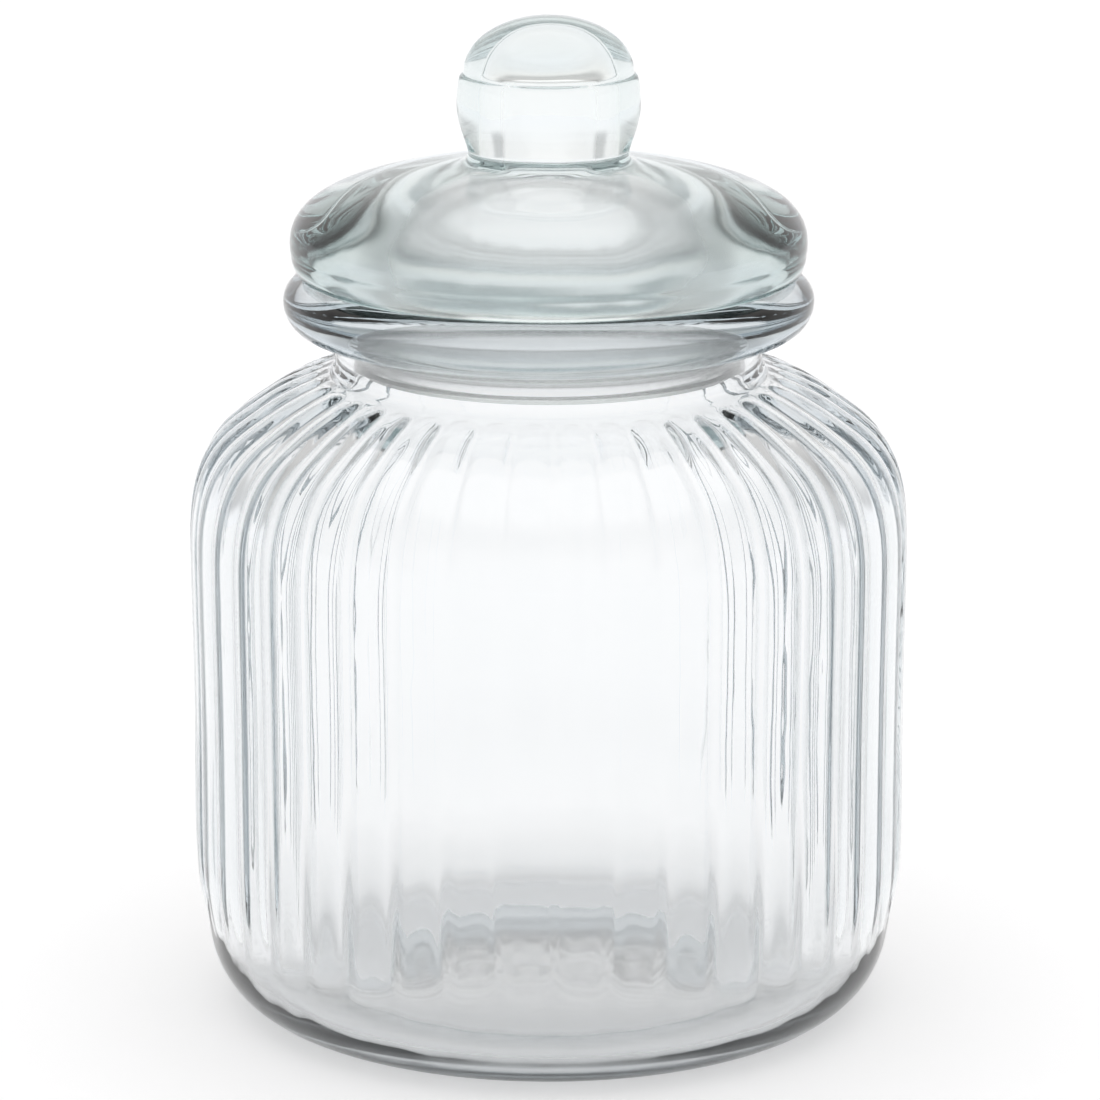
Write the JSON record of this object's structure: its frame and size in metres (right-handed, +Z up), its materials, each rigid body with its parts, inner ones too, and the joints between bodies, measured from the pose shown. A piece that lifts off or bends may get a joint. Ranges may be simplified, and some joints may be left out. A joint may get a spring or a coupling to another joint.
{
  "type": "apothecary jar",
  "caption": "Ribbed clear glass storage jar with a rounded shoulder and a bead round its mouth, closed by a lift-off hollow glass lid with a ball knob and a soft clear seal ring.",
  "frame": {"origin": "middle of the base, on the surface that the jar stands on", "axes": "+Z up along the common axis of jar, seal and lid; the front is towards -Y"},
  "size_m": [0.1754, 0.1754, 0.2444],
  "materials": {
    "jar_glass": "glossy clear soda-lime glass with a faint grey-green tint where it is thick",
    "lid_glass": "glossy clear soda-lime glass, thick, with a faint grey-green tint",
    "seal_plastic": "smooth translucent soft plastic"
  },
  "bodies": {
    "jar": {"glass_jar": "jar_glass"},
    "seal": {"seal_ring": "seal_plastic"},
    "lid": {"glass_lid": "lid_glass"}
  },
  "joints": [
    {"name": "lid_lift", "type": "slide", "parent": "jar", "child": "seal", "axis": [0, 0, 1], "range_m": [0, 0.06]},
    {"name": "lid_turn", "type": "hinge", "parent": "seal", "child": "lid", "pos_m": [0, 0, 0.17], "axis": [0, 0, 1], "continuous": true}
  ]
}
